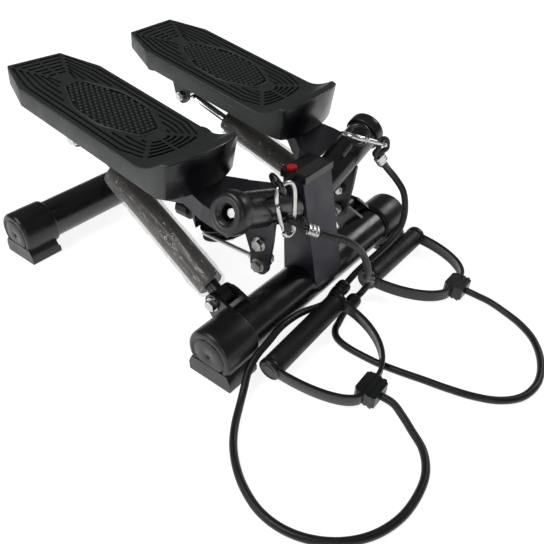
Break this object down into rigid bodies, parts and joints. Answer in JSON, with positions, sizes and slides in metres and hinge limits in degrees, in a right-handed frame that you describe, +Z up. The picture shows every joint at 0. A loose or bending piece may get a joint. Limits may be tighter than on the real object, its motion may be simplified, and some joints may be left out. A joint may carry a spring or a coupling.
{
  "type": "stepper",
  "caption": "Compact twist stepper: tubular steel base, tilted pedal arms on hydraulic shocks, cable and pulley link, and elastic arm bands.",
  "frame": {"origin": "on the floor, at the centre of the footprint of the machine with its two band handles laid in front", "axes": "+X is the user's left, +Y is the rear (the heels), +Z is up; the user stands on the pedals facing -Y"},
  "size_m": [0.4464, 0.6439, 0.2392],
  "materials": {
    "gloss_black": "gloss black powder coat",
    "satin_black": "satin blue-black powder coat",
    "cap_plastic": "satin moulded black",
    "monitor_plastic": "gloss black",
    "monitor_window": "dark tinted window",
    "button_red": "gloss red",
    "zinc_steel": "bright zinc plate",
    "coated_cable": "steel strands under clear coating",
    "nylon": "natural nylon",
    "pedal_plastic": "textured charcoal",
    "rubber": "matt black",
    "foam": "fine foam skin",
    "handle_plastic": "satin moulded black",
    "shock_paint": "grey-black enamel",
    "chrome": "mirror chrome",
    "clear_film": "crinkled clear film"
  },
  "bodies": {
    "frame": {"front_base_tube": "gloss_black", "rear_base_tube": "gloss_black", "front_right_cap": "cap_plastic", "front_left_cap": "cap_plastic", "rear_right_cap": "cap_plastic", "rear_left_cap": "cap_plastic", "spine_beam": "gloss_black", "upright_post": "satin_black", "monitor_housing": "monitor_plastic", "monitor_lens": "monitor_window", "right_axle": "gloss_black", "left_axle": "gloss_black", "right_eye_ring": "gloss_black", "left_eye_ring": "gloss_black", "pivot_bolts": "zinc_steel", "right_clevis": "gloss_black", "left_clevis": "gloss_black", "lower_shock_bolts": "zinc_steel", "pulley_bracket": "gloss_black", "pulley_bolt": "zinc_steel", "right_cable": "coated_cable", "left_cable": "coated_cable", "right_snap_hook": "zinc_steel", "left_snap_hook": "zinc_steel", "band_loops": "rubber", "band_crimps": "zinc_steel", "right_band_cord": "rubber", "left_band_cord": "rubber", "band_stoppers": "rubber", "right_handle_frame": "handle_plastic", "left_handle_frame": "handle_plastic"},
    "button": {"monitor_button": "button_red"},
    "knob": {"adjuster_knob": "cap_plastic"},
    "pulley_wheel": {"pulley": "cap_plastic"},
    "right_pedal": {"right_sleeve": "gloss_black", "right_bushes": "nylon", "right_arm": "satin_black", "right_lever": "satin_black", "right_pivot_cap": "cap_plastic", "right_bolts": "zinc_steel", "right_pedal": "pedal_plastic", "right_bumper": "rubber"},
    "left_pedal": {"left_sleeve": "gloss_black", "left_bushes": "nylon", "left_arm": "satin_black", "left_lever": "satin_black", "left_pivot_cap": "cap_plastic", "left_bolts": "zinc_steel", "left_pedal": "pedal_plastic", "left_bumper": "rubber"},
    "right_cylinder": {"right_shock_body": "shock_paint", "right_shock_film": "clear_film"},
    "right_piston": {"right_shock_rod": "chrome"},
    "left_cylinder": {"left_shock_body": "shock_paint", "left_shock_film": "clear_film"},
    "left_piston": {"left_shock_rod": "chrome"},
    "right_gate": {"right_hook_gate": "zinc_steel"},
    "left_gate": {"left_hook_gate": "zinc_steel"},
    "right_grip": {"right_handle_grip": "foam"},
    "left_grip": {"left_handle_grip": "foam"}
  },
  "joints": [
    {"name": "right_pedal_tilt", "type": "hinge", "parent": "frame", "child": "right_pedal", "pos_m": [0, -0.092, 0.1265], "axis": [0.9397, 0, -0.342], "range_deg": [-10, 10], "deforming": ["right_cable"]},
    {"name": "left_pedal_tilt", "type": "hinge", "parent": "frame", "child": "left_pedal", "pos_m": [0, -0.092, 0.1265], "axis": [0.9397, 0, 0.342], "range_deg": [-10, 10], "deforming": ["left_cable"]},
    {"name": "right_shock_swing", "type": "hinge", "parent": "frame", "child": "right_cylinder", "pos_m": [-0.12, -0.074, 0.0575], "axis": [0.9397, 0, -0.342], "range_deg": [-10, 10]},
    {"name": "left_shock_swing", "type": "hinge", "parent": "frame", "child": "left_cylinder", "pos_m": [0.12, -0.074, 0.0575], "axis": [0.9397, 0, 0.342], "range_deg": [-10, 10]},
    {"name": "right_shock_stroke", "type": "slide", "parent": "right_cylinder", "child": "right_piston", "axis": [0.1186, 0.9151, 0.3853], "range_m": [-0.02, 0.02]},
    {"name": "left_shock_stroke", "type": "slide", "parent": "left_cylinder", "child": "left_piston", "axis": [-0.1186, 0.9151, 0.3853], "range_m": [-0.02, 0.02]},
    {"name": "pulley_turn", "type": "hinge", "parent": "frame", "child": "pulley_wheel", "pos_m": [0, 0.029, 0.046], "axis": [0, 0.304, 0.9527], "range_deg": [-25, 25]},
    {"name": "knob_turn", "type": "hinge", "parent": "frame", "child": "knob", "pos_m": [0, 0.091, 0.046], "axis": [0, 1, 0], "continuous": true},
    {"name": "button_press", "type": "slide", "parent": "frame", "child": "button", "axis": [0, 0, -1], "range_m": [0, 0.0015], "stiffness_N_per_m": 300},
    {"name": "right_gate_open", "type": "hinge", "parent": "frame", "child": "right_gate", "pos_m": [-0.07819, -0.115, 0.16674], "axis": [-0.1294, -0.9853, 0.1114], "range_deg": [0, 9], "stiffness_Nm_per_rad": 0.03},
    {"name": "left_gate_open", "type": "hinge", "parent": "frame", "child": "left_gate", "pos_m": [0.05702, -0.12904, 0.19083], "axis": [0.4286, -0.0114, 0.9034], "range_deg": [0, 18], "stiffness_Nm_per_rad": 0.03},
    {"name": "right_grip_roll", "type": "hinge", "parent": "frame", "child": "right_grip", "pos_m": [-0.076, -0.1545, 0.0206], "axis": [0.9962, 0, 0.0872], "continuous": true},
    {"name": "left_grip_roll", "type": "hinge", "parent": "frame", "child": "left_grip", "pos_m": [0.118, -0.152, 0.0132], "axis": [1, 0, 0], "continuous": true}
  ],
  "couplings": [
    {"joint": "left_pedal_tilt", "follows": "right_pedal_tilt", "ratio": -1},
    {"joint": "right_shock_swing", "follows": "right_pedal_tilt", "ratio": 0.902},
    {"joint": "left_shock_swing", "follows": "right_pedal_tilt", "ratio": -0.902},
    {"joint": "right_shock_stroke", "follows": "right_pedal_tilt", "m_per_rad": 0.105},
    {"joint": "left_shock_stroke", "follows": "right_pedal_tilt", "m_per_rad": -0.105},
    {"joint": "pulley_turn", "follows": "right_pedal_tilt", "ratio": -2.13}
  ]
}
